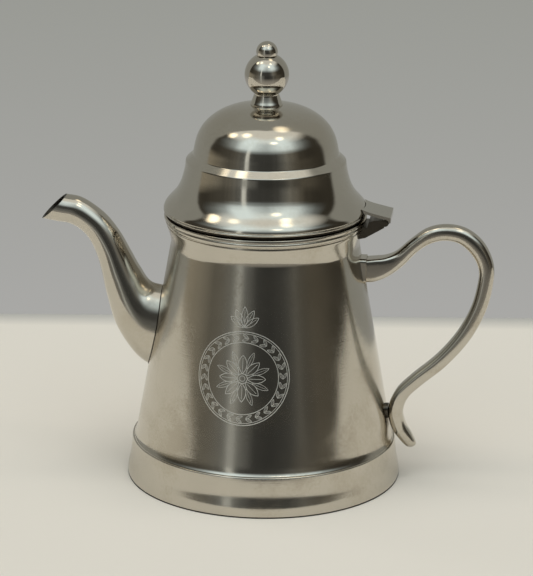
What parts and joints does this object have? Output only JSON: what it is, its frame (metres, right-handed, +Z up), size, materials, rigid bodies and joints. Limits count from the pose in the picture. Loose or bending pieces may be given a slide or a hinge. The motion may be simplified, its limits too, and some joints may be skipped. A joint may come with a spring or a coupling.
{
  "type": "teapot",
  "caption": "Metal teapot with a tapered body, foot band, S-curved spout, looped side handle and a hinged domed lid with a ball finial.",
  "frame": {"origin": "centre of the foot ring on the table plane", "axes": "+Z up along the pot's axis, +X towards the handle, -X towards the spout, Y across the pot"},
  "size_m": [0.1876, 0.114, 0.1837],
  "materials": {
    "satin_plate": "worn satin silver plate, faint turning marks",
    "bright_plate": "bright silver plate, fine scratches",
    "tarnished_plate": "darkly tarnished plate",
    "pin_metal": "dull pin",
    "nut_metal": "plain turned brass"
  },
  "bodies": {
    "pot": {"body_shell": "satin_plate", "rim_bead": "bright_plate", "foot_band": "satin_plate", "base_plate": "satin_plate", "spout": "bright_plate", "handle": "bright_plate", "handle_socket": "satin_plate", "handle_pad": "satin_plate", "hinge_bracket": "tarnished_plate", "hinge_pin": "pin_metal"},
    "lid": {"lid_dome": "satin_plate", "lid_rim_wire": "bright_plate", "lid_bezel": "satin_plate", "hinge_leaf": "tarnished_plate", "lid_knuckle": "tarnished_plate", "finial_foot": "bright_plate", "finial_ball": "bright_plate", "finial_washer": "nut_metal", "finial_nut": "nut_metal", "finial_stud": "nut_metal"}
  },
  "joints": [
    {"name": "lid_hinge", "type": "hinge", "parent": "pot", "child": "lid", "pos_m": [0.0496, 0, 0.1115], "axis": [0, 1, 0], "range_deg": [0, 100]}
  ]
}
